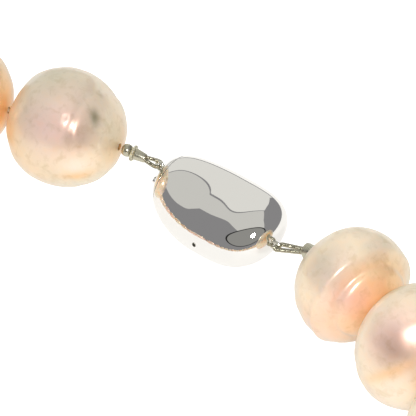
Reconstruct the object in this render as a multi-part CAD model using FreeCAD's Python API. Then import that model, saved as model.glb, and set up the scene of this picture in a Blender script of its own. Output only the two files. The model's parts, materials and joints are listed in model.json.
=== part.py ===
"""Pearl necklace: one strand of baroque freshwater pearls closed by a polished pebble clasp.

All sizes are in millimetres. The necklace lies closed on a table (z = 0) in a loose loop.
+X is the loop's long way and the clasp's axis, the clasp is on the +Y side, +Z is up,
and the origin is the middle of the loop's box, at table height.
"""
import FreeCAD, Part
import math
import os

V = FreeCAD.Vector

# ---------------------------------------------------------------- driving dimensions
# strand
LEFT_COUNT = 15               # pearls from the tongue end of the clasp to the front
RIGHT_COUNT = 16              # pearls from the box end of the clasp to the front
PEARL_LENGTH = 11.9           # average size along the thread
PEARL_DIAMETER = 12.7         # average size across the thread
LENGTH_SPREAD = 0.8
DIAMETER_SPREAD = 0.5
LEFT_NEAR = [(13.4, 13.3), (13.0, 13.3)]     # length, diameter of the pearls next to the clasp
RIGHT_NEAR = [(10.6, 12.2), (10.4, 13.4)]
PEARL_GAP = 0.8               # between two pearls, where the knot sits
THREAD_HEIGHT = 6.4           # thread axis above the table
BORE_RADIUS = 0.36            # wider than any pearl is off the thread's centre
THREAD_RADIUS = 0.19
KNOT_RADIUS = 0.37
THREAD_END_CLEARANCE = 0.41   # from a knot's centre to the next length of thread

# loop on the table
LOOP_HALF_LONG = 70.0         # before it is scaled to the strand's length
LOOP_HALF_SHORT = 60.5
LOOP_WAVES = [(3, 0.010, 0.6), (5, 0.005, 2.0)]   # waves per turn, part of the radius, phase
LOOP_TILT = 2.6               # degrees, the loop against the clasp's axis
CLASP_BEYOND_LOOP = -0.8

# clasp pebble, in its own frame: x along the axis, origin at the middle
PEBBLE_HALF_LENGTH = 8.26
PEBBLE_HALF_WIDTH = 4.86
PEBBLE_UP = 4.24              # height above its widest line, and depth below it
PEBBLE_DOWN = 3.4
PEBBLE_LEAN = 0.24            # the top leans to the outside of the loop
TONGUE_END_POWER = 1.86
TONGUE_END_ROOT = 2.82
BOX_END_POWER = 3.65          # the box end is blunter than the tongue end
BOX_END_ROOT = 2.01
TONGUE_END_SHIFT_Y = 0.6
TONGUE_END_SHIFT_Z = 1.06     # both ends rise from the table
BOX_END_SHIFT_Y = -0.07
BOX_END_SHIFT_Z = 1.07
SHELL_WALL = 0.35
SECTION_COUNT = 15
SECTION_POINTS = 24
TIP_FRACTION = 0.985          # where the end sections are, as a part of the half length
MOUTH_X = -6.75               # plane where the tongue's head meets the box
HEAD_GAP = 0.06
VENT_X = 1.0
VENT_Z = -0.36
VENT_RADIUS = 0.25

# tongue and its receiver
PLATE_THICKNESS = 0.5
TONGUE_Y = 0.0                # middle line of the tongue, in the pebble's frame
TONGUE_Z = 0.6
SLOT_HALF_WIDTH = 1.35
SLOT_HALF_HEIGHT = 0.75
RECEIVER_WALL = 0.25
RECEIVER_END_X = -0.5
LEAF_HALF_WIDTH = 1.15
LEAF_THICKNESS = 0.28
LEAF_OUTER = 0.55             # outer radius of the fold, half the folded tongue's height
FOLD_X = -1.6
FOLD_Z = 0.05
LEAF_GAP = 0.06
STEM_HALF_WIDTH = 0.6
SHOULDER_X = -6.55
HEAD_SLOT_HALF_WIDTH = 0.75
HEAD_SLOT_Z = (-0.62, 0.36)
BUTTON_X = (-8.95, -8.5)
BUTTON_HALF_WIDTH = 0.6
BUTTON_Z = (-0.8, 0.05)

# soldered rings
RING_HOLE_RADIUS = 0.36
RING_WIRE_RADIUS = 0.17
TONGUE_RING = V(-8.55, 0.3, 2.05)            # centres, in the pebble's frame
BOX_RING = V(8.55, -0.4, 0.8)

# end links: bullion coil round a loop of thread, then a crimp
BULLION_RADIUS = 0.25
BULLION_BORE = 0.14
LINK_THREAD_RADIUS = 0.11
LEG_OFFSET = 0.26             # half the distance between the loop's legs at the crimp
HOOK_RADIUS = 0.53            # bend of the loop round the ring's wire
CRIMP_TIP_RADIUS = 0.50
MOUTH_DEPTH = 0.22            # pocket in the crimp's face where the two legs of thread join
MOUTH_HALF_WIDTH = 0.38
MOUTH_HALF_HEIGHT = 0.13
CONE_BASE_RADIUS = 0.66
CUSHION_RADIUS = 0.92
BALL_RADIUS = 0.72
TONGUE_LINK_STEPS = (1.35, 2.65, 3.00, 4.20)   # bullion, cone, cushion, ball end here
BOX_LINK_STEPS = (3.75, 5.40)                  # bullion, crimp end here
BOX_CRIMP_TIP_RADIUS = 0.92
BOX_CRIMP_BASE_RADIUS = 0.60
LINK_END_GAP = 0.18           # from the last piece of a link to the first pearl's pivot
TONGUE_LINK_YAW = 17.0        # degrees, towards the inside of the loop
BOX_LINK_YAW = -2.0


# ---------------------------------------------------------------- small helpers
def cylinder(radius, start, end):
    along = end - start
    return Part.makeCylinder(radius, along.Length, start, along)


def box(low, high):
    size = high - low
    return Part.makeBox(size.x, size.y, size.z, low)


def along_x(shape, origin, direction):
    """Turn a shape made along +X from the origin so that +X lies along direction."""
    placed = shape.copy()
    flat = math.hypot(direction.x, direction.y)
    pitch = math.degrees(math.atan2(direction.z, flat))
    yaw = math.degrees(math.atan2(direction.y, direction.x))
    placed.rotate(V(0, 0, 0), V(0, 1, 0), -pitch)
    placed.rotate(V(0, 0, 0), V(0, 0, 1), yaw)
    placed.translate(origin)
    return placed


# ---------------------------------------------------------------- pearl sizes
def pearl_sizes(count, near, phase):
    """Length and diameter of each pearl of one half of the strand, clasp first."""
    sizes = list(near)
    for number in range(len(near), count):
        length = PEARL_LENGTH + LENGTH_SPREAD * math.sin(2.4 * number + phase)
        diameter = PEARL_DIAMETER + DIAMETER_SPREAD * math.sin(1.7 * number + 2.0 * phase)
        sizes.append((length, diameter))
    return sizes


LEFT_SIZES = pearl_sizes(LEFT_COUNT, LEFT_NEAR, 0.5)
RIGHT_SIZES = pearl_sizes(RIGHT_COUNT, RIGHT_NEAR, 1.9)


# ---------------------------------------------------------------- loop layout
def loop_point(turn, scale):
    """Point of the thread's loop at an angle from +X, for one scale of the loop."""
    uneven = 1.0
    for waves, depth, phase in LOOP_WAVES:
        uneven += depth * math.sin(waves * turn + phase)
    x = scale * uneven * LOOP_HALF_LONG * math.cos(turn)
    y = scale * uneven * LOOP_HALF_SHORT * math.sin(turn)
    tilt = math.radians(LOOP_TILT)
    return V(x * math.cos(tilt) - y * math.sin(tilt), x * math.sin(tilt) + y * math.cos(tilt), THREAD_HEIGHT)


def step_along(point, turn, reach, way, scale):
    """The loop's angle at which it is one straight reach away from a point."""
    near = turn
    far = turn + way * 0.6
    for _ in range(50):
        middle = 0.5 * (near + far)
        if (loop_point(middle, scale) - point).Length < reach:
            near = middle
        else:
            far = middle
    return 0.5 * (near + far)


def strand_points(start, sizes, way, scale):
    """Pivots of one half of the strand, from the clasp's link to the front."""
    points = [start]
    turn = math.pi / 2
    for number, (length, _) in enumerate(sizes):
        gap = PEARL_GAP if number else 0.5 * PEARL_GAP + LINK_END_GAP
        turn = step_along(points[-1], turn, length + gap, way, scale)
        points.append(loop_point(turn, scale))
    return points, turn


def link_line(ring, length, yaw, side):
    """Where a link starts, on the ring's wire, and ends, at the first pearl's pivot.

    side is -1 on the tongue's side of the clasp and +1 on the box's.
    """
    ring_radius = RING_HOLE_RADIUS + RING_WIRE_RADIUS
    climb = math.asin((THREAD_HEIGHT - ring.z) / (ring_radius + length))
    wire = ring + V(side * math.cos(climb), 0, math.sin(climb)) * ring_radius
    turn = math.radians(yaw)
    direction = V(side * math.cos(climb) * math.cos(turn), -math.cos(climb) * math.sin(turn), math.sin(climb))
    return wire, wire + direction * length


TONGUE_LINK_LENGTH = TONGUE_LINK_STEPS[-1] + LINK_END_GAP
BOX_LINK_LENGTH = BOX_LINK_STEPS[-1] + LINK_END_GAP


def lay_out(scale):
    """Clasp place and both halves' pivots for one scale, and how far the ends still are apart."""
    clasp = V(0, scale * LOOP_HALF_SHORT + CLASP_BEYOND_LOOP, PEBBLE_DOWN)
    _, left_start = link_line(clasp + TONGUE_RING, TONGUE_LINK_LENGTH, TONGUE_LINK_YAW, -1)
    _, right_start = link_line(clasp + BOX_RING, BOX_LINK_LENGTH, BOX_LINK_YAW, 1)
    left, left_turn = strand_points(left_start, LEFT_SIZES, 1, scale)
    right, right_turn = strand_points(right_start, RIGHT_SIZES, -1, scale)
    return clasp, left, right, (right_turn + 2 * math.pi) - left_turn


def closing_scale():
    """The loop's scale at which the two halves of the strand just meet."""
    small = 0.8
    large = 1.25
    for _ in range(45):
        middle = 0.5 * (small + large)
        if lay_out(middle)[3] > 0:
            large = middle
        else:
            small = middle
    return 0.5 * (small + large)


CLASP, LEFT_POINTS, RIGHT_POINTS, _ = lay_out(closing_scale())


# ---------------------------------------------------------------- pearls
def pearl(length, diameter):
    """Pearl body with its drill hole: an oval round +X, from x = 0 to its length."""
    half = 0.5 * length
    radius = 0.5 * diameter
    stretch = FreeCAD.Matrix()
    stretch.scale(half, radius, radius)
    body = Part.makeSphere(1.0, V(0, 0, 0), V(1, 0, 0)).transformGeometry(stretch)
    body.translate(V(half, 0, radius - THREAD_HEIGHT))
    bore = Part.makeCylinder(BORE_RADIUS, length + 2, V(-1, 0, 0), V(1, 0, 0))
    return body.cut(bore)


def thread(start, end, knotted):
    """Thread through one pearl along +X, with the knot that ends it when it is knotted."""
    rod = Part.makeCylinder(THREAD_RADIUS, end - start, V(start, 0, 0), V(1, 0, 0))
    if not knotted:
        return rod
    return rod.fuse(Part.makeSphere(KNOT_RADIUS, V(end, 0, 0)))


def strung_pearl(sizes, points, number, last_knot):
    """One pearl and its length of thread, as two solids in place on the loop."""
    length, diameter = sizes[number]
    first = points[number]
    second = points[number + 1]
    reach = (second - first).Length
    body = pearl(length, diameter)
    body.translate(V(0.5 * PEARL_GAP if number else LINK_END_GAP, 0, 0))
    end = reach if last_knot else reach - THREAD_END_CLEARANCE
    pair = Part.makeCompound([body, thread(THREAD_END_CLEARANCE, end, last_knot)])
    return along_x(pair, first, second - first)


# ---------------------------------------------------------------- clasp pebble
def pebble_section(x, inset):
    """Oval outline of the pebble across its axis, made smaller all round by inset."""
    part = x / PEBBLE_HALF_LENGTH
    if part < 0:
        fullness = (1 - abs(part) ** TONGUE_END_POWER) ** (1 / TONGUE_END_ROOT)
        shift_y = TONGUE_END_SHIFT_Y * part ** 2
        shift_z = TONGUE_END_SHIFT_Z * part ** 2
    else:
        fullness = (1 - part ** BOX_END_POWER) ** (1 / BOX_END_ROOT)
        shift_y = BOX_END_SHIFT_Y * part ** 3
        shift_z = BOX_END_SHIFT_Z * part ** 3
    half_width = PEBBLE_HALF_WIDTH * fullness - inset
    points = []
    for number in range(SECTION_POINTS):
        angle = 2 * math.pi * number / SECTION_POINTS + 0.5
        height = PEBBLE_UP if math.sin(angle) > 0 else PEBBLE_DOWN
        z = (height * fullness - inset) * math.sin(angle)
        y = half_width * math.cos(angle) + PEBBLE_LEAN * z
        points.append(V(x, shift_y + y, shift_z + z))
    outline = Part.BSplineCurve()
    outline.interpolate(points, PeriodicFlag=True)
    return Part.Wire([outline.toShape()])


def pebble(inset):
    """Whole pebble, or its cavity when inset is the wall's thickness."""
    reach = PEBBLE_HALF_LENGTH * TIP_FRACTION - 1.6 * inset
    sections = []
    for number in range(SECTION_COUNT):
        x = -reach * math.cos(math.pi * number / (SECTION_COUNT - 1))
        sections.append(pebble_section(x, inset))
    return Part.makeLoft(sections, True, False)


FAR = 20.0
PEBBLE = pebble(0.0)
CAVITY = pebble(SHELL_WALL)
BOX_HALF = box(V(MOUTH_X, -FAR, -FAR), V(FAR, FAR, FAR))


def clasp_shell(low_z, high_z):
    """Half of the hollow box of the clasp, split along its middle plane."""
    half = box(V(MOUTH_X, -FAR, low_z), V(FAR, FAR, high_z))
    return PEBBLE.common(half).cut(CAVITY)


def clasp_top_shell():
    return clasp_shell(0, FAR)


def clasp_bottom_shell():
    vent = Part.makeCylinder(VENT_RADIUS, FAR, V(VENT_X, 0, VENT_Z), V(0, -1, 0))
    return clasp_shell(-FAR, 0).cut(vent)


def slot_box(x_low, x_high, half_width, z_low, z_high):
    """Block centred on the tongue's line."""
    low = V(x_low, TONGUE_Y - half_width, TONGUE_Z + z_low)
    high = V(x_high, TONGUE_Y + half_width, TONGUE_Z + z_high)
    return box(low, high)


PLATE_BACK = MOUTH_X + PLATE_THICKNESS


def clasp_end_plate():
    plate = CAVITY.common(box(V(MOUTH_X, -FAR, -FAR), V(PLATE_BACK, FAR, FAR)))
    slot = slot_box(MOUTH_X - 1, PLATE_BACK + 1, SLOT_HALF_WIDTH, -SLOT_HALF_HEIGHT, SLOT_HALF_HEIGHT)
    return plate.cut(slot)


def clasp_receiver():
    """Rectangular sleeve behind the end plate that guides the folded tongue."""
    width = SLOT_HALF_WIDTH + RECEIVER_WALL
    height = SLOT_HALF_HEIGHT + RECEIVER_WALL
    outer = slot_box(PLATE_BACK, RECEIVER_END_X, width, -height, height)
    inner = slot_box(PLATE_BACK - 1, RECEIVER_END_X + 1, SLOT_HALF_WIDTH, -SLOT_HALF_HEIGHT, SLOT_HALF_HEIGHT)
    return outer.cut(inner)


def soldered_ring(middle):
    """Wire ring standing in the XZ plane, cut flat where it sits on the pebble's end."""
    ring = Part.makeTorus(RING_HOLE_RADIUS + RING_WIRE_RADIUS, RING_WIRE_RADIUS, middle, V(0, 1, 0))
    tip = PEBBLE_HALF_LENGTH * TIP_FRACTION
    return ring.cut(box(V(-tip, -FAR, -FAR), V(tip, FAR, FAR)))


# ---------------------------------------------------------------- tongue
def tongue_head():
    """End slice of the pebble that closes the box, with a slot for the button's stem."""
    head = PEBBLE.common(box(V(-FAR, -FAR, -FAR), V(MOUTH_X - HEAD_GAP, FAR, FAR)))
    return head.cut(slot_box(-FAR, 0, HEAD_SLOT_HALF_WIDTH, HEAD_SLOT_Z[0], HEAD_SLOT_Z[1]))


def tongue_upper_leaf():
    """Fixed leaf with its round fold."""
    top = FOLD_Z + LEAF_OUTER
    leaf = slot_box(MOUTH_X - HEAD_GAP, FOLD_X, LEAF_HALF_WIDTH, top - LEAF_THICKNESS, top)
    axis_start = V(FOLD_X, TONGUE_Y - LEAF_HALF_WIDTH, TONGUE_Z + FOLD_Z)
    outer = Part.makeCylinder(LEAF_OUTER, 2 * LEAF_HALF_WIDTH, axis_start, V(0, 1, 0))
    inner = Part.makeCylinder(LEAF_OUTER - LEAF_THICKNESS, 2 * LEAF_HALF_WIDTH, axis_start, V(0, 1, 0))
    fold = outer.cut(inner).common(slot_box(FOLD_X, FAR, FAR, -FAR, FAR))
    return leaf.fuse(fold)


def tongue_spring_leaf():
    """Lower leaf that springs, and the narrow stem that carries the button."""
    low = FOLD_Z - LEAF_OUTER
    high = low + LEAF_THICKNESS
    leaf = slot_box(SHOULDER_X, FOLD_X - LEAF_GAP, LEAF_HALF_WIDTH, low, high)
    stem = slot_box(BUTTON_X[1], SHOULDER_X, STEM_HALF_WIDTH, low, high)
    return leaf.fuse(stem)


def push_button():
    """Small oval thumb button on the end of the stem."""
    middle_z = TONGUE_Z + 0.5 * (BUTTON_Z[0] + BUTTON_Z[1])
    half_height = 0.5 * (BUTTON_Z[1] - BUTTON_Z[0])
    middle = V(BUTTON_X[0], TONGUE_Y, middle_z)
    oval = Part.Ellipse(middle + V(0, BUTTON_HALF_WIDTH, 0), middle + V(0, 0, half_height), middle)
    face = Part.Face(Part.Wire([oval.toShape()]))
    return face.extrude(V(BUTTON_X[1] - BUTTON_X[0], 0, 0))


# ---------------------------------------------------------------- end links
def hook_loop(radius, reach):
    """Hairpin about the ring's wire at the origin: its two legs close in towards x = reach."""
    leg_end = V(reach, LEG_OFFSET, 0)
    bearing = math.atan2(leg_end.y, leg_end.x) + math.acos(HOOK_RADIUS / leg_end.Length)
    touch = V(HOOK_RADIUS * math.cos(bearing), HOOK_RADIUS * math.sin(bearing), 0)
    past_end = leg_end + (leg_end - touch).normalize() * LEG_OFFSET
    leg = cylinder(radius, touch, past_end)
    leg = leg.common(box(V(-FAR, -FAR, -FAR), V(reach, FAR, FAR)))
    other_leg = leg.mirror(V(0, 0, 0), V(0, 1, 0))
    sweep = 360 - 2 * math.degrees(bearing)
    bend = Part.makeTorus(HOOK_RADIUS, radius, V(0, 0, 0), V(0, 0, 1), -180, 180, sweep)
    bend.rotate(V(0, 0, 0), V(0, 0, 1), math.degrees(bearing))
    return bend.fuse([leg, other_leg])


def bullion(reach):
    """Bullion: the coil of fine wire threaded over the loop, as a bent tube."""
    return hook_loop(BULLION_RADIUS, reach).cut(hook_loop(BULLION_BORE, reach))


TONGUE_LINK = link_line(CLASP + TONGUE_RING, TONGUE_LINK_LENGTH, TONGUE_LINK_YAW, -1)
BOX_LINK = link_line(CLASP + BOX_RING, BOX_LINK_LENGTH, BOX_LINK_YAW, 1)


def tongue_link_piece(shape):
    """Lay a piece, made along +X from the ring's wire, on the tongue's link."""
    wire, end = TONGUE_LINK
    return along_x(shape, wire, end - wire)


def box_link_piece(shape):
    """Lay a piece, made along +X from the ring's wire, on the box's link."""
    wire, end = BOX_LINK
    return along_x(shape, wire, end - wire)


def cone(start, end, tip_radius, base_radius):
    """Crimp that grows towards the pearl, pierced for the thread."""
    outer = Part.makeCone(tip_radius, base_radius, end - start, V(start, 0, 0), V(1, 0, 0))
    return outer.cut(pierced(start, end))


def pierced(start, end):
    """Hole through a piece of a link."""
    return cylinder(THREAD_RADIUS + 0.02, V(start - 1, 0, 0), V(end + 1, 0, 0))


def link_thread_loop(reach, end):
    """Thread inside a link: the loop in the bullion, joined in the crimp to one cord."""
    half_width = LEG_OFFSET + 0.5 * LINK_THREAD_RADIUS
    half_height = LINK_THREAD_RADIUS - 0.01
    bridge = box(V(reach, -half_width, -half_height), V(reach + MOUTH_DEPTH - 0.02, half_width, half_height))
    cord = cylinder(THREAD_RADIUS, V(reach, 0, 0), V(end, 0, 0))
    return hook_loop(LINK_THREAD_RADIUS, reach).fuse([bridge, cord])


def crimp_with_mouth(start, end, tip_radius, base_radius):
    low = V(start - 0.1, -MOUTH_HALF_WIDTH, -MOUTH_HALF_HEIGHT)
    high = V(start + MOUTH_DEPTH, MOUTH_HALF_WIDTH, MOUTH_HALF_HEIGHT)
    return cone(start, end, tip_radius, base_radius).cut(box(low, high))


def cushion(start, end):
    disc = cylinder(CUSHION_RADIUS, V(start, 0, 0), V(end, 0, 0))
    return disc.cut(pierced(start, end))


def end_ball(start, end):
    radius = 0.5 * (end - start)
    ball = Part.makeSphere(BALL_RADIUS, V(0.5 * (start + end), 0, 0))
    slab = cylinder(FAR, V(start, 0, 0), V(end, 0, 0))
    return ball.common(slab).cut(pierced(start - radius, end + radius))


# ---------------------------------------------------------------- all nodes
def in_place(shape):
    """From the pebble's frame to the loop's."""
    placed = shape.copy()
    placed.translate(CLASP)
    return placed


def make_nodes():
    nodes = {
        "clasp_top_shell": in_place(clasp_top_shell()),
        "clasp_bottom_shell": in_place(clasp_bottom_shell()),
        "clasp_end_plate": in_place(clasp_end_plate()),
        "clasp_receiver": in_place(clasp_receiver()),
        "box_ring": in_place(soldered_ring(BOX_RING)),
        "tongue_head": in_place(tongue_head()),
        "tongue_upper_leaf": in_place(tongue_upper_leaf()),
        "tongue_ring": in_place(soldered_ring(TONGUE_RING)),
        "tongue_spring_leaf": in_place(tongue_spring_leaf()),
        "push_button": in_place(push_button()),
    }
    bullion_end, cone_end, cushion_end, ball_end = TONGUE_LINK_STEPS
    nodes["tongue_bullion"] = tongue_link_piece(bullion(bullion_end))
    nodes["tongue_thread_loop"] = tongue_link_piece(link_thread_loop(bullion_end, ball_end))
    nodes["tongue_crimp"] = tongue_link_piece(
        crimp_with_mouth(bullion_end, cone_end, CRIMP_TIP_RADIUS, CONE_BASE_RADIUS))
    nodes["tongue_cushion"] = tongue_link_piece(cushion(cone_end, cushion_end))
    nodes["tongue_end_ball"] = tongue_link_piece(end_ball(cushion_end, ball_end))
    bullion_end, crimp_end = BOX_LINK_STEPS
    nodes["box_bullion"] = box_link_piece(bullion(bullion_end))
    nodes["box_thread_loop"] = box_link_piece(link_thread_loop(bullion_end, crimp_end))
    nodes["box_crimp"] = box_link_piece(
        crimp_with_mouth(bullion_end, crimp_end, BOX_CRIMP_TIP_RADIUS, BOX_CRIMP_BASE_RADIUS))
    for number in range(LEFT_COUNT):
        nodes["left_pearl_%02d" % (number + 1)] = strung_pearl(LEFT_SIZES, LEFT_POINTS, number, True)
    for number in range(RIGHT_COUNT):
        knotted = number < RIGHT_COUNT - 1
        nodes["right_pearl_%02d" % (number + 1)] = strung_pearl(RIGHT_SIZES, RIGHT_POINTS, number, knotted)
    return nodes


def main():
    os.makedirs("parts", exist_ok=True)
    nodes = make_nodes()
    whole = FreeCAD.BoundBox()
    for shape in nodes.values():
        whole.add(shape.optimalBoundingBox())
    shift = V(-whole.Center.x, -whole.Center.y, -whole.ZMin)
    for name, shape in nodes.items():
        shape.translate(shift)
        shape.exportStep("parts/%s.step" % name)
        solids = len(shape.Solids)
        print("%-20s solids %d valid %s volume %.3f" % (name, solids, shape.isValid(), shape.Volume))
    print("size %.2f x %.2f x %.2f" % (whole.XLength, whole.YLength, whole.ZLength))
    for label, points in (("left", LEFT_POINTS), ("right", RIGHT_POINTS)):
        for number, point in enumerate(points):
            spot = point + shift
            print("pivot %s %d %.4f %.4f %.4f" % (label, number, spot.x, spot.y, spot.z))
    places = (("tongue_ring", CLASP + TONGUE_RING), ("box_ring", CLASP + BOX_RING), ("clasp", CLASP))
    for label, point in places:
        spot = point + shift
        print("pivot %s 0 %.4f %.4f %.4f" % (label, spot.x, spot.y, spot.z))


main()
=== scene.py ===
"""Looks of the pearl necklace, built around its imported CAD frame. Lengths are in metres."""
import json
import math
import bpy
import numpy as np
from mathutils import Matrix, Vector


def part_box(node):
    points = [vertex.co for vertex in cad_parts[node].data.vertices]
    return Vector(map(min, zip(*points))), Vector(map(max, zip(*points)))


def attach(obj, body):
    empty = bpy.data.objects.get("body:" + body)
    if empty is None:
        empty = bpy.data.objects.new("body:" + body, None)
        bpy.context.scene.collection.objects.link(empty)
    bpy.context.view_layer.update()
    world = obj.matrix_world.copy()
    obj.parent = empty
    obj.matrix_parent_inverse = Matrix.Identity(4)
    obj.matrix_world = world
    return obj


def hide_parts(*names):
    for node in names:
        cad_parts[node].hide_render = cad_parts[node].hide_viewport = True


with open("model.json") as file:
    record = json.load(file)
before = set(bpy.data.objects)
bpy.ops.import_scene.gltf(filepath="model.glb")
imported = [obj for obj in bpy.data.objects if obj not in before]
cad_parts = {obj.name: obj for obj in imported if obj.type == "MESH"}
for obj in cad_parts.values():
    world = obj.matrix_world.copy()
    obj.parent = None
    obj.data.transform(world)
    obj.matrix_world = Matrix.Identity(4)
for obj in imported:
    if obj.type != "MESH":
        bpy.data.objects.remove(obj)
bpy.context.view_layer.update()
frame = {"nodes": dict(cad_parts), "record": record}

# ---------------------------------------------------------------- driving values
MM = 0.001
PEARL_GAP = 0.8 * MM              # between two pearls
FIRST_GAP = 0.18 * MM             # from a link's end to the first pearl
BORE_RADIUS = 0.36 * MM
THREAD_RADIUS = 0.19 * MM
KNOT_RADIUS = 0.36 * MM
JOINTS = {joint["name"]: joint for joint in frame["record"]["behaviour"]["joints"]}
LEFT_COUNT = sum(name.startswith("left_knot") for name in JOINTS)
RIGHT_COUNT = sum(name.startswith("right_knot") for name in JOINTS)


def srgb(red, green, blue, alpha=1.0):
    """Linear colour from 0 to 255 screen values."""
    channels = []
    for value in (red, green, blue):
        part = value / 255
        channels.append(part / 12.92 if part <= 0.04045 else ((part + 0.055) / 1.055) ** 2.4)
    return (*channels, alpha)


def unit(vector):
    vector = np.asarray(vector, float)
    return vector / np.linalg.norm(vector)


def smooth(value, low, high):
    """0 below low, 1 above high, smooth between."""
    part = np.clip((value - low) / (high - low), 0, 1)
    return part * part * (3 - 2 * part)


# ---------------------------------------------------------------- mesh helpers
def mesh_object(name, points, faces, material, body):
    mesh = bpy.data.meshes.new(name)
    mesh.from_pydata([tuple(p) for p in points], [], faces)
    mesh.update()
    mesh.polygons.foreach_set("use_smooth", [True] * len(mesh.polygons))
    mesh.materials.append(material)
    piece = bpy.data.objects.new(name, mesh)
    bpy.context.scene.collection.objects.link(piece)
    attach(piece, body)
    return piece


def grid_faces(rows, columns, closed=True):
    """Quads of a grid of rows by columns, joined round when closed."""
    faces = []
    last = columns if closed else columns - 1
    for row in range(rows - 1):
        for column in range(last):
            after = (column + 1) % columns
            a = row * columns + column
            b = row * columns + after
            faces.append((a, b, b + columns, a + columns))
    return faces


def add_colours(piece, name, colours):
    """Colour of every point, read by the material."""
    layer = piece.data.color_attributes.new(name, "FLOAT_COLOR", "POINT")
    rgba = np.ones((len(colours), 4), np.float32)
    rgba[:, :3] = colours
    layer.data.foreach_set("color", rgba.ravel())


def tube_along(path, radius, sides, capped=True):
    """Points and faces of a round tube along a path of points; radius may vary along it."""
    path = np.asarray(path, float)
    count = len(path)
    radii = np.broadcast_to(radius, count)
    tangents = np.gradient(path, axis=0)
    tangents /= np.linalg.norm(tangents, axis=1)[:, None]
    normal = np.cross(tangents[0], (0.3, 0.2, 1.0))
    normal /= np.linalg.norm(normal)
    angles = np.arange(sides) * 2 * math.pi / sides
    rows = []
    for index in range(count):
        tangent = tangents[index]
        normal = normal - tangent * (normal @ tangent)
        normal /= np.linalg.norm(normal)
        other = np.cross(tangent, normal)
        ring = np.outer(np.cos(angles), normal) + np.outer(np.sin(angles), other)
        rows.append(path[index] + ring * radii[index])
    points = np.concatenate(rows)
    faces = grid_faces(count, sides)
    if capped:
        faces.append(tuple(range(sides - 1, -1, -1)))
        faces.append(tuple(range((count - 1) * sides, count * sides)))
    return points, faces


class Local:
    """Place of a piece made along +X from its own origin."""

    def __init__(self, start, end):
        self.origin = np.asarray(start, float)
        self.along = unit(np.asarray(end, float) - self.origin)
        self.side = unit(np.cross((0, 0, 1), self.along))
        self.up = np.cross(self.along, self.side)

    def place(self, points):
        points = np.asarray(points, float)
        axes = np.array([self.along, self.side, self.up])
        return self.origin + points @ axes

    def direction(self, world):
        """A world direction in this place's own axes."""
        return np.array([self.along, self.side, self.up]) @ np.asarray(world, float)


# ---------------------------------------------------------------- materials
def new_material(name):
    material = bpy.data.materials.new(name)
    material.use_nodes = True
    nodes = material.node_tree.nodes
    nodes.clear()
    output = nodes.new("ShaderNodeOutputMaterial")
    shader = nodes.new("ShaderNodeBsdfPrincipled")
    material.node_tree.links.new(shader.outputs[0], output.inputs[0])
    return material, nodes, material.node_tree.links, shader


def noise_node(nodes, links, scale, detail=3.0, roughness=0.55, distortion=0.0):
    """3-D noise in the piece's own coordinates; scale is in features per metre."""
    coordinates = nodes.new("ShaderNodeTexCoord")
    texture = nodes.new("ShaderNodeTexNoise")
    texture.inputs["Scale"].default_value = scale
    texture.inputs["Detail"].default_value = detail
    texture.inputs["Roughness"].default_value = roughness
    texture.inputs["Distortion"].default_value = distortion
    links.new(coordinates.outputs["Object"], texture.inputs["Vector"])
    return texture


def ramp_node(nodes, links, source, stops):
    ramp = nodes.new("ShaderNodeValToRGB")
    elements = ramp.color_ramp.elements
    while len(elements) < len(stops):
        elements.new(0.5)
    for element, (position, colour) in zip(elements, stops):
        element.position = position
        element.color = colour
    links.new(source, ramp.inputs["Fac"])
    return ramp


def bump_from(nodes, links, source, shader, strength, distance):
    bump = nodes.new("ShaderNodeBump")
    bump.inputs["Strength"].default_value = strength
    bump.inputs["Distance"].default_value = distance
    links.new(source, bump.inputs["Height"])
    links.new(bump.outputs["Normal"], shader.inputs["Normal"])
    return bump


def nacre_material():
    """Freshwater nacre: colour painted on the pearl (its body colour, with painted shade, bounce light and
    reflections), fine growth marks, satin gloss and orient.
    """
    material, nodes, links, shader = new_material("nacre")
    body = nodes.new("ShaderNodeVertexColor")
    body.layer_name = "body"
    fine = noise_node(nodes, links, 900.0, 4.0, 0.6, 0.4)
    tint = ramp_node(nodes, links, fine.outputs["Fac"], [
        (0.3, srgb(240, 232, 220)), (0.5, srgb(253, 249, 246)), (0.7, srgb(255, 247, 238))])
    mix = nodes.new("ShaderNodeMix")
    mix.data_type = "RGBA"
    mix.blend_type = "MULTIPLY"
    mix.inputs["Factor"].default_value = 1.0
    links.new(body.outputs["Color"], mix.inputs["A"])
    links.new(tint.outputs["Color"], mix.inputs["B"])
    links.new(mix.outputs["Result"], shader.inputs["Base Color"])
    rough = noise_node(nodes, links, 350.0, 3.0)
    span = nodes.new("ShaderNodeMapRange")
    span.inputs["To Min"].default_value = 0.24
    span.inputs["To Max"].default_value = 0.40
    links.new(rough.outputs["Fac"], span.inputs["Value"])
    links.new(span.outputs["Result"], shader.inputs["Roughness"])
    shader.inputs["IOR"].default_value = 1.65
    shader.inputs["Metallic"].default_value = 0.24
    shader.inputs["Subsurface Weight"].default_value = 0.25
    shader.inputs["Subsurface Radius"].default_value = (1.0, 0.55, 0.35)
    shader.inputs["Subsurface Scale"].default_value = 0.0012
    shader.inputs["Coat Weight"].default_value = 0.45
    shader.inputs["Coat Roughness"].default_value = 0.16
    shader.inputs["Coat IOR"].default_value = 1.5
    shader.inputs["Sheen Weight"].default_value = 0.12
    shader.inputs["Sheen Roughness"].default_value = 0.35
    shader.inputs["Sheen Tint"].default_value = srgb(255, 214, 160)
    shader.inputs["Thin Film Thickness"].default_value = 260.0
    shader.inputs["Thin Film IOR"].default_value = 1.4
    skin = noise_node(nodes, links, 1500.0, 3.0, 0.6)
    bump_from(nodes, links, skin.outputs["Fac"], shader, 0.08, 0.0001)
    return material


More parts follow.
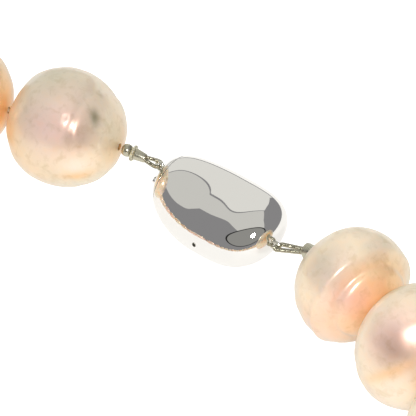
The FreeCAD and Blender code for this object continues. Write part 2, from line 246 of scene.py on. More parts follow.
def silver_material(name, colour, roughness, wear_scale, wear_strength):
    """Polished silver with a little uneven polish and hair marks."""
    material, nodes, links, shader = new_material(name)
    shader.inputs["Base Color"].default_value = colour
    shader.inputs["Metallic"].default_value = 1.0
    wear = noise_node(nodes, links, wear_scale, 4.0, 0.6)
    span = nodes.new("ShaderNodeMapRange")
    span.inputs["From Min"].default_value = 0.35
    span.inputs["From Max"].default_value = 0.75
    span.inputs["To Min"].default_value = roughness
    span.inputs["To Max"].default_value = roughness * 2.0 + 0.01
    links.new(wear.outputs["Fac"], span.inputs["Value"])
    links.new(span.outputs["Result"], shader.inputs["Roughness"])
    bump_from(nodes, links, wear.outputs["Fac"], shader, wear_strength, 0.00002)
    return material


def silk_material():
    """Cream silk cord with its fine twist."""
    material, nodes, links, shader = new_material("silk")
    fibres = noise_node(nodes, links, 6000.0, 2.0)
    colour = ramp_node(nodes, links, fibres.outputs["Fac"], [
        (0.3, srgb(196, 164, 112)), (0.7, srgb(240, 222, 184))])
    links.new(colour.outputs["Color"], shader.inputs["Base Color"])
    shader.inputs["Roughness"].default_value = 0.55
    shader.inputs["Sheen Weight"].default_value = 0.4
    bump_from(nodes, links, fibres.outputs["Fac"], shader, 0.4, 0.00004)
    return material


def cushion_material():
    """Soft translucent disc, faintly yellow."""
    material, nodes, links, shader = new_material("cushion")
    haze = noise_node(nodes, links, 1200.0, 2.0)
    colour = ramp_node(nodes, links, haze.outputs["Fac"], [
        (0.3, srgb(226, 220, 190)), (0.7, srgb(250, 248, 232))])
    links.new(colour.outputs["Color"], shader.inputs["Base Color"])
    shader.inputs["Roughness"].default_value = 0.2
    shader.inputs["IOR"].default_value = 1.42
    shader.inputs["Transmission Weight"].default_value = 0.65
    bump_from(nodes, links, haze.outputs["Fac"], shader, 0.1, 0.00005)
    return material


NACRE = nacre_material()
SILVER = silver_material("silver", srgb(246, 244, 240), 0.012, 500.0, 0.02)
BRIGHT_WIRE = silver_material("bright_wire", srgb(226, 224, 212), 0.12, 4000.0, 0.1)
DULL_WIRE = silver_material("dull_wire", srgb(196, 192, 172), 0.2, 4000.0, 0.15)
SILK = silk_material()
CUSHION = cushion_material()
# dark silver for the disc painted as the shade inside the vent hole
VENT_SHADE_DARK = silver_material("vent_shadow", srgb(70, 66, 60), 0.4, 500.0, 0.02)

# ---------------------------------------------------------------- pearls
CREAM = srgb(252, 238, 216)[:3]
PEACH = srgb(255, 224, 194)[:3]
ROSE = srgb(240, 206, 204)[:3]
STONE = srgb(216, 202, 190)[:3]
SAGE = srgb(208, 206, 188)[:3]
# ochre: painted shade and warm bounce light in the gaps between pearls, in grooves, creases and drill holes, and a
# painted golden glow at a rim; also the ochre crescent under one pearl's pale dent
OCHRE_TINT_AND_BOUNCE_SHADE = srgb(251, 198, 132)[:3]
IVORY = srgb(255, 244, 232)[:3]
# dark grey-green: painted shade in a pit
PIT_SHADE = srgb(122, 122, 96)[:3]
# brown: painted reflection of the dim room and camera, round a highlight and above a fold
DIM_REFLECTION_BROWN = srgb(164, 134, 120)[:3]

# the main view, also used to place what is seen on the pearls beside the clasp
AZIMUTH = math.radians(41.4)
ELEVATION = math.radians(40.0)
BACK = np.array([math.sin(AZIMUTH) * math.cos(ELEVATION), -math.cos(AZIMUTH) * math.cos(ELEVATION),
                 math.sin(ELEVATION)])
RIGHT = np.array([math.cos(AZIMUTH), math.sin(AZIMUTH), 0.0])
UP = np.cross(BACK, RIGHT)


class Pearl:
    """One drilled baroque pearl, as a grid of rings about its thread from hole to hole."""

    def __init__(self, name, start, end, lead, rows, columns):
        self.name = name
        self.local = Local(start, end)
        reach = np.linalg.norm(np.asarray(end) - np.asarray(start))
        self.length = reach - lead - 0.5 * PEARL_GAP
        self.lead = lead
        self.radius = 0.5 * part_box(name)[1].z
        self.drop = self.radius - float(np.asarray(start)[2])
        self.rows = rows
        self.columns = columns
        first = math.asin(min(1.0, BORE_RADIUS * 1.25 / self.radius))
        self.polar = np.linspace(first, math.pi - first, rows)
        self.round = np.arange(columns) * 2 * math.pi / columns
        polar, around = np.meshgrid(self.polar, self.round, indexing="ij")
        self.grid_polar = polar.ravel()
        # directions from the pearl's middle in its own axes: along, side, up
        self.way = np.stack([-np.cos(polar), np.sin(polar) * np.cos(around),
                             np.sin(polar) * np.sin(around)], axis=-1).reshape(-1, 3)
        self.swell = np.zeros(len(self.way))
        self.colour = np.tile(np.array(CREAM), (len(self.way), 1))

    def spot(self, where, width):
        """Soft round spot about a direction; width is in radians."""
        angle = np.arccos(np.clip(self.way @ unit(where), -1, 1))
        return np.exp(-(angle / width) ** 2)

    def oval_spot(self, where, long_way, long_width, short_width):
        """Soft oval spot, longer along one direction."""
        centre = unit(where)
        long_axis = unit(long_way - centre * (np.asarray(long_way) @ centre))
        short_axis = np.cross(centre, long_axis)
        ahead = np.maximum(self.way @ centre, 0.02)
        u = (self.way @ long_axis) / ahead / long_width
        v = (self.way @ short_axis) / ahead / short_width
        return np.exp(-(u * u + v * v)) * (self.way @ centre > 0)

    def face(self, right, up):
        """Direction to a place on the side that faces the main view, in parts of the radius."""
        ahead = math.sqrt(max(0.0, 1 - right * right - up * up))
        return self.local.direction(RIGHT * right + UP * up + BACK * ahead)

    def bump(self, where, width, height):
        self.swell += height * self.spot(where, width)

    def groove(self, along, width, height, wobble=0.0, phase=0.0):
        """Ring round the thread at a place along it, from -1 to 1."""
        around = np.arctan2(self.way[:, 2], self.way[:, 1])
        place = along + wobble * np.sin(around + phase)
        self.swell += height * np.exp(-((self.way[:, 0] - place) / width) ** 2)

    def paint(self, weight, colour):
        weight = np.clip(weight, 0, 1)[:, None]
        self.colour = self.colour * (1 - weight) + np.array(colour) * weight

    def waves(self, seed, scale, count=5):
        """Smooth random pattern on the pearl, from about -1 to 1."""
        chance = np.random.RandomState(seed)
        total = np.zeros(len(self.way))
        for _ in range(count):
            direction = unit(chance.normal(size=3))
            total += np.sin(self.way @ direction * scale + chance.uniform(0, 2 * math.pi))
        return total / math.sqrt(count)

    def points(self):
        half = 0.5 * self.length
        # the underside and the ends keep the plain oval, which touches the table and clears the next pearl
        free = smooth(self.way[:, 2], -0.99, -0.72) * smooth(np.sin(self.grid_polar), 0.08, 0.42)
        size = 1 + free * self.swell / self.radius
        shape = self.way * np.array([half, self.radius, self.radius]) * size[:, None]
        near_hole = 1 - smooth(np.sin(self.grid_polar), 0.1, 0.6)
        shape[:, 2] += self.drop * (1 - near_hole)
        shape[:, 0] += self.lead + half
        return shape

    def build(self, body):
        surface = self.points()
        rings = surface.reshape(self.rows, self.columns, 3)
        flat = np.stack([np.zeros(self.columns), np.cos(self.round), np.sin(self.round)], axis=-1)
        caps = []
        for ring, inward in ((rings[0], 1), (rings[-1], -1)):
            edge = ring[:, 0].mean()
            stack = []
            for radius, depth in ((1.08, 0.01), (1.0, 0.08), (0.98, 1.6)):
                lip = flat * BORE_RADIUS * radius
                lip[:, 0] = edge + inward * depth * MM
                stack.append(lip)
            caps.append(stack)
        all_rings = caps[0][::-1] + list(rings) + caps[1]
        points = np.concatenate(all_rings)
        faces = grid_faces(len(all_rings), self.columns)
        piece = mesh_object(self.name + "_nacre", self.local.place(points), faces, NACRE, body)
        # painted shade: half-bright ochre inside the drill holes and on their lips
        bore_shade = np.tile(np.array(OCHRE_TINT_AND_BOUNCE_SHADE) * 0.5, (3 * self.columns, 1))
        add_colours(piece, "body", np.concatenate([bore_shade, self.colour, bore_shade]))
        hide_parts(self.name)
        return piece


def uneven(pearl, seed, lumps=1.0):
    """Baroque unevenness: broad lumps, fine ripples and small pits."""
    chance = np.random.RandomState(seed)
    pearl.swell += 0.13 * lumps * MM * pearl.waves(seed + 1, 2.6)
    pearl.swell += 0.035 * MM * pearl.waves(seed + 2, 7.5)
    pearl.swell += 0.02 * MM * pearl.waves(seed + 7, 19.0, 9)
    for _ in range(20):
        where = unit(chance.normal(size=3) * (0.8, 1, 1))
        depth = chance.uniform(0.02, 0.06) * MM
        pearl.bump(where, chance.uniform(0.035, 0.08), -depth)


def any_pearl(pearl, seed):
    """Shape and colour of a pearl that has no features of its own."""
    chance = np.random.RandomState(seed)
    uneven(pearl, seed)
    for _ in range(3):
        where = unit(chance.normal(size=3) * (0.7, 1, 1))
        pearl.bump(where, chance.uniform(0.35, 0.7), chance.uniform(-0.32, 0.14) * MM)
    for _ in range(2):
        where = unit(chance.normal(size=3) * (0.7, 1, 1))
        width = chance.uniform(0.1, 0.18)
        pearl.bump(where, width, chance.uniform(-0.18, -0.08) * MM)
        # painted shade: grey-green over each small dent
        pearl.paint(0.6 * pearl.spot(where, 1.5 * width), SAGE)
    if chance.uniform() < 0.5:
        side = chance.choice([-1, 1])
        place = side * chance.uniform(0.45, 0.7)
        pearl.groove(place, 0.07, -0.2 * MM, 0.06, chance.uniform(0, 6))
        # painted shade: ochre along the groove
        pearl.paint(0.5 * np.exp(-((pearl.way[:, 0] - place) / 0.1) ** 2), OCHRE_TINT_AND_BOUNCE_SHADE)
    main = [CREAM, PEACH, ROSE, STONE][chance.randint(4)]
    pearl.paint(0.6 * np.ones(len(pearl.way)), main)
    tone_and_gap_bounce(pearl, seed)


def tone_and_gap_bounce(pearl, seed, gap_bounce=0.8):
    """Colour play that every pearl has: patches, and ochre towards the drill holes, painted in as the warm bounce
    light and shade in the gaps between pearls.
    """
    pearl.paint(0.55 * smooth(pearl.waves(seed + 3, 2.2), 0.1, 1.3), PEACH)
    pearl.paint(0.5 * smooth(pearl.waves(seed + 4, 2.6), 0.2, 1.4), ROSE)
    pearl.paint(0.5 * smooth(pearl.waves(seed + 5, 2.4), 0.2, 1.4), SAGE)
    pearl.paint(0.4 * smooth(pearl.waves(seed + 6, 5.0), 0.5, 1.6), IVORY)
    pearl.paint(0.25 * smooth(pearl.waves(seed + 8, 9.0, 8), 0.2, 1.6), STONE)
    # painted bounce light and shade: ochre towards both drill holes, where the pearl faces its neighbours
    pearl.paint(gap_bounce * (1 - smooth(np.sin(pearl.grid_polar), 0.05, 0.6)), OCHRE_TINT_AND_BOUNCE_SHADE)


def tongue_side_pearl(pearl):
    """Plump, nearly round: a pit painted dark grey-green as shade, a pale oval dent low down, and a golden far rim
    painted as warm glow and bounce light.
    """
    uneven(pearl, 21, 0.8)
    pearl.bump(pearl.face(0.86, 0.05), 0.45, -0.25 * MM)
    pearl.bump(pearl.face(-0.72, -0.6), 0.4, 0.3 * MM)
    pearl.bump(pearl.face(0.4, -0.88), 0.4, 0.2 * MM)
    pearl.bump(pearl.face(0.72, 0.62), 0.4, -0.3 * MM)
    pearl.bump(pearl.face(-0.8, 0.55), 0.4, -0.35 * MM)
    pit = pearl.oval_spot(pearl.face(0.52, 0.14), pearl.local.direction(UP), 0.14, 0.09)
    pearl.swell -= 0.16 * MM * pit
    dent = pearl.oval_spot(pearl.face(0.19, -0.66), pearl.local.direction(RIGHT), 0.26, 0.2)
    rim = pearl.oval_spot(pearl.face(0.19, -0.66), pearl.local.direction(RIGHT), 0.42, 0.34)
    pearl.swell += 0.14 * MM * rim - 0.38 * MM * dent
    pearl.groove(-0.52, 0.06, -0.09 * MM, 0.05, 1.0)
    tone_and_gap_bounce(pearl, 21, 0.6)
    # painted reflection: greyer nacre high on the side facing the main view, where the dim room reflects, and brown
    # round the highlight, where the dark camera and room reflect
    pearl.paint(0.65 * pearl.spot(pearl.face(-0.1, 0.45), 0.7), STONE)
    pearl.paint(0.6 * pearl.spot(pearl.face(0.18, -0.14), 0.36), DIM_REFLECTION_BROWN)
    # painted reflection: grey-green at the top of the side facing the main view, where the dim room reflects
    pearl.paint(0.6 * pearl.spot(pearl.face(-0.21, 0.8), 0.35), SAGE)
    pearl.paint(0.6 * pearl.spot(pearl.face(0.82, -0.1), 0.3), SAGE)
    # painted light: golden glow at the far left rim and peach low on the left, standing in for warm bounce light from
    # the white table through the nacre
    pearl.paint(0.7 * pearl.spot(pearl.face(-0.93, -0.2), 0.4), OCHRE_TINT_AND_BOUNCE_SHADE)
    pearl.paint(0.6 * pearl.spot(pearl.face(-0.55, -0.75), 0.4), PEACH)
    # painted shade: dark grey-green in the pit
    pearl.paint(0.75 * pit, PIT_SHADE)
    pearl.paint(0.5 * rim, PEACH)
    pearl.paint(0.8 * dent, IVORY)
    pearl.paint(0.55 * pearl.oval_spot(pearl.face(0.2, -0.82), pearl.local.direction(RIGHT), 0.3, 0.09), OCHRE_TINT_AND_BOUNCE_SHADE)
    pearl.paint(0.5 * pearl.spot(pearl.face(-0.3, -0.1), 0.4), ROSE)


def second_left_pearl(pearl):
    uneven(pearl, 45, 0.6)
    tone_and_gap_bounce(pearl, 45, 0.95)
    # painted bounce light and shade: ochre on the end that faces the first pearl, in the gap between them
    pearl.paint(0.5 * smooth(-pearl.way[:, 0], 0.1, 0.9), OCHRE_TINT_AND_BOUNCE_SHADE)


def box_side_pearl(pearl):
    """Button-shaped, with a terrace that steps down to a crease at its far side, where ochre is painted in as shade
    and bounce light.
    """
    uneven(pearl, 63, 0.8)
    far = pearl.way[:, 0] + 0.12 * pearl.way[:, 2]
    pearl.swell -= 0.5 * MM * smooth(far, 0.28, 0.62)
    pearl.groove(0.3, 0.09, 0.22 * MM, 0.10, 0.6)
    pearl.groove(0.62, 0.07, -0.24 * MM, 0.05, 2.0)
    tone_and_gap_bounce(pearl, 63, 0.9)
    # painted reflection: grey-green high on the left of the side facing the main view, where the dim room reflects
    pearl.paint(0.65 * pearl.spot(pearl.face(-0.47, 0.32), 0.45), STONE)
    pearl.paint(0.4 * pearl.spot(pearl.face(-0.5, 0.4), 0.22), SAGE)
    # painted shade and bounce light: ochre over the far terrace and crease, in the gap to the next pearl
    pearl.paint(0.6 * smooth(far, 0.35, 0.8), OCHRE_TINT_AND_BOUNCE_SHADE)
    # painted light: peach low on the left, standing in for warm bounce light from the white table
    pearl.paint(0.5 * pearl.spot(pearl.face(-0.6, -0.6), 0.5), PEACH)
    pearl.paint(0.6 * pearl.spot(pearl.face(-0.1, -0.25), 0.4), ROSE)


def second_right_pearl(pearl):
    """Large and broad: brown painted above a fold as the reflection of the dim room, the fold painted ochre as shade,
    and light peach painted below it as the reflection of the white table.
    """
    uneven(pearl, 84, 1.0)
    pearl.bump(pearl.face(-0.5, -0.35), 0.4, -0.3 * MM)
    fold = pearl.oval_spot(pearl.face(-0.45, -0.42), pearl.local.direction(RIGHT + 0.5 * UP), 0.6, 0.11)
    pearl.swell -= 0.16 * MM * fold
    tone_and_gap_bounce(pearl, 84, 0.9)
    # painted reflection: mauve and brown above the fold, where the dim room and camera reflect
    pearl.paint(0.7 * pearl.spot(pearl.face(-0.45, 0.15), 0.5), ROSE)
    pearl.paint(0.7 * pearl.spot(pearl.face(-0.35, -0.1), 0.4), DIM_REFLECTION_BROWN)
    # painted reflection: light peach below the fold, where the white table reflects
    pearl.paint(0.6 * pearl.spot(pearl.face(-0.35, -0.75), 0.5), IVORY)
    # painted shade: ochre in the fold
    pearl.paint(0.5 * fold, OCHRE_TINT_AND_BOUNCE_SHADE)
    # painted bounce light and shade: ochre on the end that faces the first pearl, in the gap between them
    pearl.paint(0.6 * smooth(-pearl.way[:, 0], 0.45, 0.9), OCHRE_TINT_AND_BOUNCE_SHADE)


def knot_points(side, count):
    return [np.array(JOINTS["%s_knot_%02d" % (side, number + 1)]["pos_m"]) for number in range(count)]


def pearl_middle(node, start):
    """Middle of a pearl over the place where it touches the table."""
    points = np.array([v.co for v in frame["nodes"][node].data.vertices])
    low = points[points[:, 2] < 0.25 * points[:, 2].max()]
    return 0.5 * (low.min(0) + low.max(0))


def strand_line(side, count):
    points = knot_points(side, count)
    last = "%s_pearl_%02d" % (side, count)
    middle = pearl_middle(last, points[-1])
    end = points[-1] + 2 * (middle - points[-1])
    end[2] = points[-1][2]
    return points + [end]


def build_thread(name, start, end, body, knotted):
    """Silk through one pearl, with the knot in the gap after it."""
    local = Local(start, end)
    reach = np.linalg.norm(np.asarray(end) - np.asarray(start))
    path = [(x, 0, 0) for x in np.linspace(0.41 * MM, reach - 0.2 * MM, 6)]
    points, faces = tube_along(path, THREAD_RADIUS, 12)
    parts = [(points, faces)]
    if knotted:
        parts.append(knot_mesh(reach))
    all_points = []
    all_faces = []
    for points, faces in parts:
        offset = sum(len(p) for p in all_points)
        all_points.append(points)
        all_faces += [tuple(index + offset for index in face) for face in faces]
    return mesh_object(name, local.place(np.concatenate(all_points)), all_faces, SILK, body)


def knot_mesh(middle_x):
    """Overhand knot: a cord wound once round itself, pulled tight."""
    turns = np.linspace(0, 2 * math.pi, 60, endpoint=False)
    core = 0.145 * MM
    path = np.stack([
        middle_x + 0.16 * MM * np.sin(2 * turns + 0.4),
        core * np.cos(turns) * 1.25,
        core * np.sin(turns) * 1.25], axis=-1)
    path = np.concatenate([path, path[:1]])
    return tube_along(path, 0.15 * MM, 10, capped=False)


def build_strand(side, count, seed):
    line = strand_line(side, count)
    for number in range(count):
        node = "%s_pearl_%02d" % (side, number + 1)
        lead = 0.5 * PEARL_GAP if number else FIRST_GAP
        near = number < 2
        pearl = Pearl(node, line[number], line[number + 1], lead, 150 if near else 84, 180 if near else 96)
        shaper = NEAR_PEARLS.get(node)
        if shaper:
            shaper(pearl)
        else:
            any_pearl(pearl, seed + 10 * number)
        pearl.build(node)
        last = side == "right" and number == count - 1
        build_thread(node + "_silk", line[number], line[number + 1], node, not last)


def last_left_pearl(pearl):
    """Kept slim, since its thread end lies free beside its neighbour's."""
    uneven(pearl, 31, 0.4)
    pearl.swell -= 0.25 * MM
    tone_and_gap_bounce(pearl, 31)


NEAR_PEARLS = {"left_pearl_01": tongue_side_pearl, "left_pearl_02": second_left_pearl,
               "right_pearl_01": box_side_pearl, "right_pearl_02": second_right_pearl,
               "left_pearl_15": last_left_pearl}
build_strand("left", LEFT_COUNT, 100)
build_strand("right", RIGHT_COUNT, 900)

# ---------------------------------------------------------------- clasp pebble
HALF_LENGTH = 8.26 * MM
HALF_WIDTH = 4.86 * MM
PEBBLE_UP = 4.24 * MM
PEBBLE_DOWN = 3.4 * MM
PEBBLE_LEAN = 0.24
TONGUE_END_SHIFT = (0.6 * MM, 1.06 * MM)
BOX_END_SHIFT = (-0.07 * MM, 1.07 * MM)
MOUTH_X = -6.75 * MM
HEAD_GAP = 0.06 * MM
RING_RADIUS = 0.53 * MM
RING_WIRE = 0.17 * MM
BOX_RING = np.array([8.55, -0.4, 0.8]) * MM
TONGUE_RING = np.array([-8.55, 0.3, 2.05]) * MM
VENT = np.array([1.0, 0, -0.36]) * MM
VENT_RADIUS = 0.25 * MM
BOX_RING_PLACE = np.array(JOINTS["clasp_box_link_swing"]["pos_m"])
TONGUE_RING_PLACE = np.array(JOINTS["clasp_tongue_link_swing"]["pos_m"])
CLASP = BOX_RING_PLACE - BOX_RING


def pebble_point(part, around):
    """Point of the pebble: part from -1 to 1 along it, and the angle round it from +Y to +Z."""
    part = np.asarray(part, float)
    left = np.clip(1 - np.abs(part) ** 1.86, 0, 1) ** (1 / 2.82)
    right = np.clip(1 - np.abs(part) ** 3.65, 0, 1) ** (1 / 2.01)
    full = np.where(part < 0, left, right)
    shift_y = np.where(part < 0, TONGUE_END_SHIFT[0] * part ** 2, BOX_END_SHIFT[0] * part ** 3)
    shift_z = np.where(part < 0, TONGUE_END_SHIFT[1] * part ** 2, BOX_END_SHIFT[1] * part ** 3)
    height = np.where(np.sin(around) > 0, PEBBLE_UP, PEBBLE_DOWN) * full * np.sin(around)
    x = HALF_LENGTH * part
    y = shift_y + HALF_WIDTH * full * np.cos(around) + PEBBLE_LEAN * height
    return np.stack([x, y, shift_z + height], axis=-1)


def pebble_rows(first, last, rows, columns):
    """Grid of the pebble between two places along it."""
    parts = -np.cos(np.linspace(math.acos(-first), math.acos(-last), rows))
    angles = np.arange(columns) * 2 * math.pi / columns
    return np.concatenate([pebble_point(np.full(columns, part), angles) for part in parts])


def build_pebble(name, first, last, rows, body, *nodes):
    """Polished part of the pebble between two places along it, with a wall turned in at an open end."""
    columns = 200
    points = pebble_rows(first, last, rows, columns)
    faces = grid_faces(rows, columns)
    faces.append(tuple(range(columns - 1, -1, -1)))
    faces.append(tuple(range((rows - 1) * columns, rows * columns)))
    piece = mesh_object(name, points + CLASP, faces, SILVER, body)
    for polygon in piece.data.polygons[-2:]:
        polygon.use_smooth = False
    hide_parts(*nodes)


def lathe(local, profile, sides=48):
    """Points and faces of a round piece about a place's axis; profile is (along, radius) pairs."""
    angles = np.arange(sides) * 2 * math.pi / sides
    rows = [np.stack([np.full(sides, x), r * np.cos(angles), r * np.sin(angles)], axis=-1) for x, r in profile]
    return local.place(np.concatenate(rows) * MM), grid_faces(len(profile), sides)


def rounded(start, end, first_radius, last_radius, corner=0.07, bore=0.2):
    """Profile of a pierced barrel with rounded corners."""
    profile = [(start + 0.02, bore)]
    for step in range(6):
        turn = step * math.pi / 10
        profile.append((start + corner * (1 - math.cos(turn)), first_radius - corner * (1 - math.sin(turn))))
    for step in range(6):
        turn = (5 - step) * math.pi / 10
        profile.append((end - corner * (1 - math.cos(turn)), last_radius - corner * (1 - math.sin(turn))))
    profile.append((end - 0.02, bore))
    return profile


def build_ring(name, middle, body, node):
    turns = np.linspace(0, 2 * math.pi, 64)
    path = middle + np.stack([np.cos(turns), 0 * turns, np.sin(turns)], axis=-1) * RING_RADIUS
    points, faces = tube_along(path, RING_WIRE, 20, capped=False)
    piece = mesh_object(name, points, faces, BRIGHT_WIRE, body)
    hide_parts(node)


def build_vent():
    """Small vent hole in the pebble's side, drawn as a dark disc painted as the shade inside it, with its worn rim.
    """
    angles = np.linspace(0, 2 * math.pi, 400, endpoint=False)
    section = pebble_point(np.full(400, VENT[0] / HALF_LENGTH), angles)
    front = section[:, 1] < 0
    middle = section[front][np.argmin(np.abs(section[front][:, 2] - VENT[2]))] + CLASP
    local = Local(middle, middle + np.array([0, -1.0, 0.08]))
    hole_points, hole_faces = lathe(local, [(0.004, 0.24), (0.004, 0.12), (0.004, 0.001)], 32)
    # painted shade: flat dark disc on the surface in place of the hole
    mesh_object("clasp_vent_shade_disc", hole_points, hole_faces, VENT_SHADE_DARK, "clasp_box")
    turns = np.linspace(0, 2 * math.pi, 48)
    ring = np.stack([0 * turns, np.cos(turns), np.sin(turns)], axis=-1) * VENT_RADIUS
    points, faces = tube_along(local.place(ring), 0.025 * MM, 8, capped=False)
    mesh_object("clasp_vent_rim", points, faces, BRIGHT_WIRE, "clasp_box")


# ---------------------------------------------------------------- links from the clasp to the strand
HOOK_RADIUS = 0.53 * MM
LEG_OFFSET = 0.26 * MM
COIL_RADIUS = 0.2 * MM
COIL_WIRE = 0.052 * MM
COIL_PITCH = 0.118 * MM
TONGUE_STEPS = (1.35, 2.65, 3.00, 4.20)
BOX_STEPS = (3.75, 5.40)
LINK_END_GAP = 0.18


def link_place(ring, end, side, length):
    """Place of a link: from the middle of the ring's wire to the first pearl's pivot."""
    climb = math.asin((end[2] - ring[2]) / (RING_RADIUS + length * MM))
    wire = ring + np.array([side * math.cos(climb), 0, math.sin(climb)]) * RING_RADIUS
    return Local(wire, end)


def hairpin(reach):
    """Middle line of the loop round the ring's wire, its legs closing in towards the crimp."""
    leg_end = np.array([reach, LEG_OFFSET])
    bearing = math.atan2(LEG_OFFSET, reach) + math.acos(HOOK_RADIUS / np.linalg.norm(leg_end))
    turns = np.linspace(bearing, 2 * math.pi - bearing, 60)
    bend = np.stack([np.cos(turns), np.sin(turns)], axis=-1) * HOOK_RADIUS
    steps = np.linspace(0, 1, 60)[:, None]
    leg = leg_end + (bend[0] - leg_end) * steps
    other = bend[-1] + (leg_end * (1, -1) - bend[-1]) * steps
    line = np.concatenate([leg[:-1], bend, other[1:]])
    return np.concatenate([line, np.zeros((len(line), 1))], axis=1)


def coil(line, per_turn=10):
    """Fine wire wound round a line."""
    lengths = np.concatenate([[0], np.cumsum(np.linalg.norm(np.diff(line, axis=0), axis=1))])
    count = int(lengths[-1] / COIL_PITCH * per_turn)
    places = np.linspace(0, lengths[-1], count)
    centre = np.stack([np.interp(places, lengths, line[:, axis]) for axis in range(3)], axis=-1)
    tangent = np.gradient(centre, axis=0)
    tangent /= np.linalg.norm(tangent, axis=1)[:, None]
    up = np.array([0, 0, 1.0])
    side = np.cross(up, tangent)
    turn = np.arange(count)[:, None] * 2 * math.pi / per_turn
    return centre + COIL_RADIUS * (np.cos(turn) * side + np.sin(turn) * up)


def build_coil(name, local, reach, body, node):
    line = hairpin(reach)
    points, faces = tube_along(coil(line), COIL_WIRE, 6)
    piece = mesh_object(name, local.place(points), faces, DULL_WIRE, body)
    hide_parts(node)


def build_links():
    left_end = np.array(JOINTS["left_knot_01"]["pos_m"])
    right_end = np.array(JOINTS["right_knot_01"]["pos_m"])
    left = link_place(TONGUE_RING_PLACE, left_end, -1, TONGUE_STEPS[-1] + LINK_END_GAP)
    right = link_place(BOX_RING_PLACE, right_end, 1, BOX_STEPS[-1] + LINK_END_GAP)
    build_coil("tongue_bullion_coil", left, TONGUE_STEPS[0] * MM, "tongue_link", "tongue_bullion")
    build_coil("box_bullion_coil", right, BOX_STEPS[0] * MM, "box_link", "box_bullion")
    start, crimp_end, pad_end, ball_end = TONGUE_STEPS
    ball = 0.5 * (pad_end + ball_end)
    ball_profile = [(pad_end + 0.005, 0.25)]
    for turn in np.linspace(0.68, math.pi - 0.68, 24):
        ball_profile.append((ball - 0.72 * math.cos(turn), 0.72 * math.sin(turn)))
    ball_profile.append((ball_end - 0.005, 0.25))
    for name, local, profile, material, slot, body, node in (
            ("tongue_crimp_cup", left, rounded(start, crimp_end, 0.5, 0.66), DULL_WIRE, "silver", "tongue_link",
             "tongue_crimp"),
            ("tongue_pad", left, rounded(crimp_end, pad_end, 0.92, 0.92, 0.15), CUSHION, "cushion",
             "tongue_link", "tongue_cushion"),
            ("tongue_ball", left, ball_profile, DULL_WIRE, "silver", "tongue_link", "tongue_end_ball"),
            ("box_crimp_barrel", right, rounded(BOX_STEPS[0], BOX_STEPS[1], 0.92, 0.6, 0.12), DULL_WIRE, "silver",
             "box_link", "box_crimp")):
        points, faces = lathe(local, profile)
        piece = mesh_object(name, points, faces, material, body)
        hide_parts(node)


build_pebble("clasp_pebble", MOUTH_X / HALF_LENGTH, 0.9999, 220, "clasp_box", "clasp_top_shell", "clasp_bottom_shell")
build_pebble("tongue_head_cap", -0.9999, (MOUTH_X - HEAD_GAP) / HALF_LENGTH, 50, "tongue", "tongue_head")
build_ring("box_ring_wire", BOX_RING_PLACE, "clasp_box", "box_ring")
build_ring("tongue_ring_wire", TONGUE_RING_PLACE, "tongue", "tongue_ring")
build_vent()
build_links()

for node, cad in frame["nodes"].items():
    if "_pearl_" not in node:
        cad.data.materials.clear()
        cad.data.materials.append(SILK if "thread" in node else SILVER)

# ---------------------------------------------------------------- stage, light and camera
CAMERA_DISTANCE = 0.225
FRAME_WIDTH = 44.5 * MM
SENSOR = 36.0
AIM_RIGHT = -1.01 * MM
AIM_UP = 0.82 * MM
AIM_BACK = 0.70 * MM


def build_camera():
    data = bpy.data.cameras.new("camera")
    data.sensor_width = SENSOR
    data.lens = SENSOR * CAMERA_DISTANCE / FRAME_WIDTH
    data.clip_start = 0.01
    data.clip_end = 50
    camera = bpy.data.objects.new("camera", data)
    bpy.context.scene.collection.objects.link(camera)
    aim = CLASP + RIGHT * AIM_RIGHT + UP * AIM_UP + BACK * AIM_BACK
    camera.location = aim + BACK * CAMERA_DISTANCE
    camera.rotation_mode = "QUATERNION"
    camera.rotation_quaternion = Vector(-BACK).to_track_quat("-Z", "Y")
    bpy.context.scene.camera = camera


def build_floor():
    """White table, lit through so that it stays white right under the pearls."""
    size = 6.0
    mesh = bpy.data.meshes.new("floor")
    corners = [(-size, -size, 0), (size, -size, 0), (size, size, 0), (-size, size, 0)]
    mesh.from_pydata(corners, [], [(0, 1, 2, 3)])
    floor = bpy.data.objects.new("floor", mesh)
    bpy.context.scene.collection.objects.link(floor)
    material, nodes, links, shader = new_material("floor_white")
    shader.inputs["Base Color"].default_value = (0.25, 0.25, 0.25, 1)
    shader.inputs["Roughness"].default_value = 0.6
    shader.inputs["Specular IOR Level"].default_value = 0.1
    shader.inputs["Emission Color"].default_value = (1, 0.99, 0.97, 1)
    rays = nodes.new("ShaderNodeLightPath")
    strength = nodes.new("ShaderNodeMapRange")
    strength.inputs["To Min"].default_value = 0.76
    strength.inputs["To Max"].default_value = 1.1
    links.new(rays.outputs["Is Camera Ray"], strength.inputs["Value"])
    links.new(strength.outputs["Result"], shader.inputs["Emission Strength"])
    mesh.materials.append(material)


def glow_panel(name, points, radiance):
    """Flat glowing shape, seen only in reflections and as light."""
    mesh = bpy.data.meshes.new(name)
    mesh.from_pydata([tuple(point) for point in points], [], [tuple(range(len(points)))])
    panel = bpy.data.objects.new(name, mesh)
    bpy.context.scene.collection.objects.link(panel)
    material = bpy.data.materials.new(name)
    material.use_nodes = True
    nodes = material.node_tree.nodes
    nodes.clear()
    output = nodes.new("ShaderNodeOutputMaterial")
    glow = nodes.new("ShaderNodeEmission")
    glow.inputs["Color"].default_value = (1.0, 1.0, 0.965, 1.0)
    glow.inputs["Strength"].default_value = radiance
    material.node_tree.links.new(glow.outputs[0], output.inputs[0])
    mesh.materials.append(material)
    panel.visible_camera = False


def cut_corners(line, rounds=3):
    """The open line with its corners rounded off, its ends kept."""
    line = [np.array(point, float) for point in line]
    for _ in range(rounds):
        softer = [line[0]]
        for first, second in zip(line[:-1], line[1:]):
            softer += [0.75 * first + 0.25 * second, 0.25 * first + 0.75 * second]
        line = softer + [line[-1]]
    return line


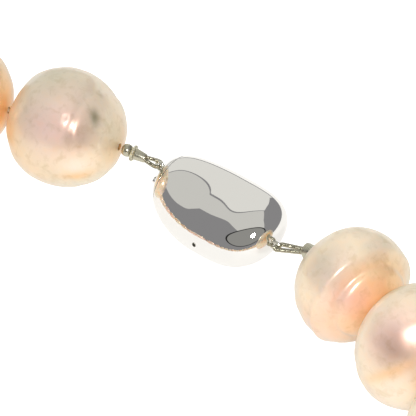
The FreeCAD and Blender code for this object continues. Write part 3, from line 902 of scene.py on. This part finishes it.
def overhead(outline):
    """Shape hung over the clasp, from (right, towards the camera) pairs as parts of its height."""
    level = np.array([BACK[0], BACK[1], 0.0])
    level /= np.linalg.norm(level)
    above = CLASP + np.array([0, 0, PANEL_HEIGHT])
    return [above + (RIGHT * right + level * ahead) * PANEL_HEIGHT for right, ahead in outline]


def disc(centre, radius, stretch, sides=48):
    turns = np.arange(sides) * 2 * math.pi / sides
    return [centre + (RIGHT * math.cos(turn) * stretch + UP * math.sin(turn)) * radius for turn in turns]


def build_world():
    """White backdrop for the camera, and a dim room for everything else."""
    world = bpy.data.worlds.new("room")
    bpy.context.scene.world = world
    world.use_nodes = True
    nodes = world.node_tree.nodes
    links = world.node_tree.links
    nodes.clear()
    output = nodes.new("ShaderNodeOutputWorld")
    mix = nodes.new("ShaderNodeMixShader")
    rays = nodes.new("ShaderNodeLightPath")
    room = nodes.new("ShaderNodeBackground")
    room.inputs["Color"].default_value = (0.25, 0.25, 0.26, 1)
    seen = nodes.new("ShaderNodeBackground")
    seen.inputs["Color"].default_value = (1, 1, 1, 1)
    links.new(rays.outputs["Is Camera Ray"], mix.inputs[0])
    links.new(room.outputs[0], mix.inputs[1])
    links.new(seen.outputs[0], mix.inputs[2])
    links.new(mix.outputs[0], output.inputs[0])


PANEL_HEIGHT = 1.2
# meeting line of the two ceiling panels, left to right, with the bay where one sags under the other
SEAM = [(-2.5, -2.1), (-1.6, -1.5), (-0.95, -1.13), (-0.55, -1.03), (-0.36, -0.96), (-0.29, -0.85),
        (-0.30, -0.70), (-0.37, -0.50), (-0.46, -0.35), (-0.50, -0.25), (-0.45, -0.21), (-0.31, -0.23),
        (-0.09, -0.30), (0.34, -0.42)]
FRONT_EDGE = [(0.36, 0.10), (0.85, 0.90), (0.0, 0.80), (-0.62, 0.75), (-0.78, 0.30), (-0.78, 0.02), (-1.16, 0.05),
              (-1.69, 0.10), (-2.24, -0.25), (-2.3, -0.95)]
BACK_EDGE = [(0.67, -1.13), (1.5, -3.5), (6.0, -14.0), (-16.0, -14.0)]
SEAM_GAP = (-0.035, 0.035)


def build_lights():
    seam = cut_corners(SEAM)
    front = [point + np.array(SEAM_GAP) for point in seam] + cut_corners(FRONT_EDGE)
    glow_panel("panel_front", overhead(front), 0.60)
    glow_panel("panel_back", overhead(seam + BACK_EDGE), 0.75)
    eye = CLASP + BACK * (CAMERA_DISTANCE + 0.03)
    glow_panel("hood_rim", disc(eye - RIGHT * 0.05, 0.125, 2.1), 0.02)
    glow_panel("hood_glass", disc(eye - RIGHT * 0.05 - BACK * 0.004, 0.112, 2.1), 0.28)
    fill = bpy.data.lights.new("fill", "AREA")
    fill.size = 1.0
    fill.energy = 9.0
    fill_lamp = bpy.data.objects.new("fill", fill)
    bpy.context.scene.collection.objects.link(fill_lamp)
    fill_lamp.location = CLASP + np.array([0.2, -0.5, 1.0])
    fill_lamp.rotation_mode = "QUATERNION"
    fill_lamp.rotation_quaternion = Vector((-0.2, 0.5, -1.0)).to_track_quat("-Z", "Y")
    fill_lamp.visible_camera = False
    fill_lamp.visible_glossy = False
    light = bpy.data.lights.new("lens_light", "AREA")
    light.shape = "DISK"
    light.size = 0.045
    light.energy = 70.0 * math.pi * math.pi * 0.0225 ** 2
    lamp = bpy.data.objects.new("lens_light", light)
    bpy.context.scene.collection.objects.link(lamp)
    lamp.location = eye - BACK * 0.01 + RIGHT * 0.01 + UP * 0.01
    lamp.rotation_mode = "QUATERNION"
    lamp.rotation_quaternion = Vector(-BACK).to_track_quat("-Z", "Y")
    lamp.visible_camera = False


build_camera()
build_floor()
build_world()
build_lights()
scene = bpy.context.scene
scene.view_settings.view_transform = "Standard"
